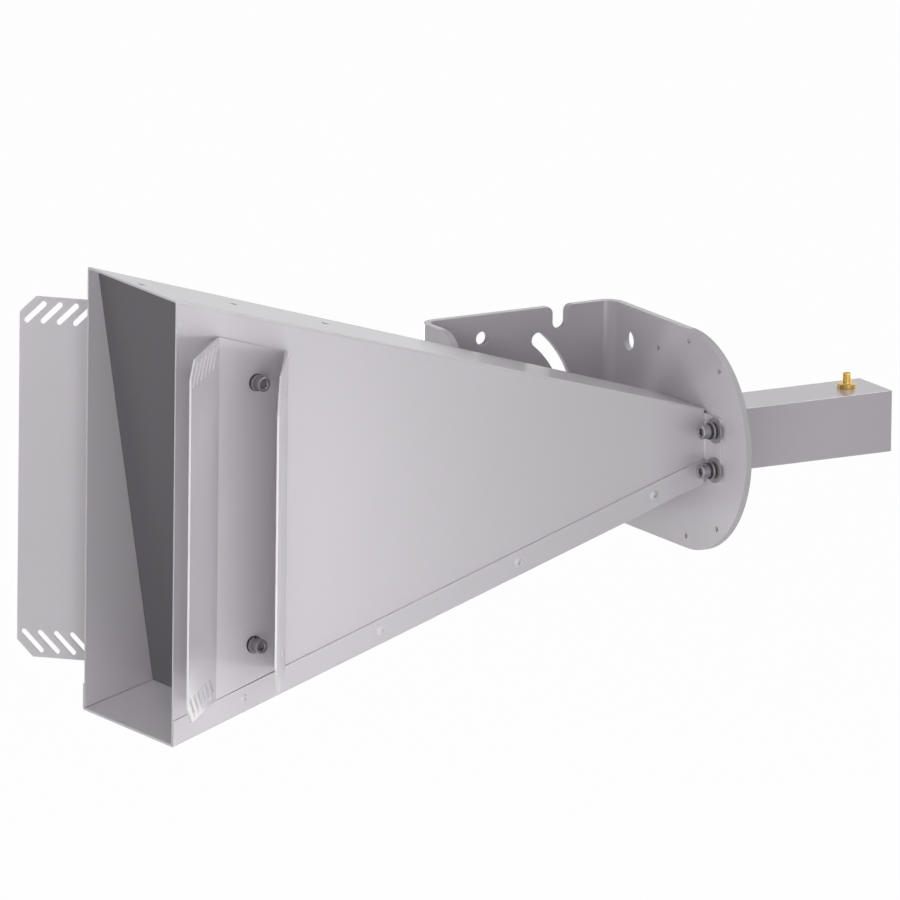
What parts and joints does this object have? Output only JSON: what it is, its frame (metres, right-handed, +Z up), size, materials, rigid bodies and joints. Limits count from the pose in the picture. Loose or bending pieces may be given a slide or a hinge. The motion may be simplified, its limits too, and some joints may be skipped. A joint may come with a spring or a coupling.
{
  "type": "sector antenna",
  "caption": "Tall sheet-metal horn with a tilted radome panel and slotted side fins, fed by a square waveguide and carried on a bent bracket with a tilt slot.",
  "frame": {"origin": "centre of the tilt pivot hole, on the outer face of the bracket's web", "axes": "+Y from the mouth back along the horn's axis to the waveguide's rear end, +X from the web across the horn, +Z up along the mouth's long side"},
  "size_m": [0.2806, 0.6166, 0.311],
  "materials": {
    "sheet_metal": "satin",
    "bracket": "satin",
    "hardware": "satin",
    "radome": "matte",
    "gilt": "polished",
    "insulator": "matte"
  },
  "bodies": {
    "root": {"horn_upper_shell": "sheet_metal", "horn_lower_shell": "sheet_metal", "shell_rivets": "hardware", "radome_panel": "radome", "fin_left": "sheet_metal", "fin_right": "sheet_metal", "fin_screws": "hardware", "fin_lock_washers": "hardware", "fin_flat_washers": "hardware", "fin_nuts": "hardware", "mount_bracket": "bracket", "throat_screws": "hardware", "throat_lock_washers": "hardware", "throat_flat_washers": "hardware", "throat_wide_washers": "hardware", "throat_nut_washers": "hardware", "throat_nuts": "hardware", "waveguide_tube": "sheet_metal", "waveguide_end_plate": "sheet_metal", "connector_body": "gilt", "connector_insulator": "insulator", "feed_probe": "gilt"}
  },
  "joints": []
}
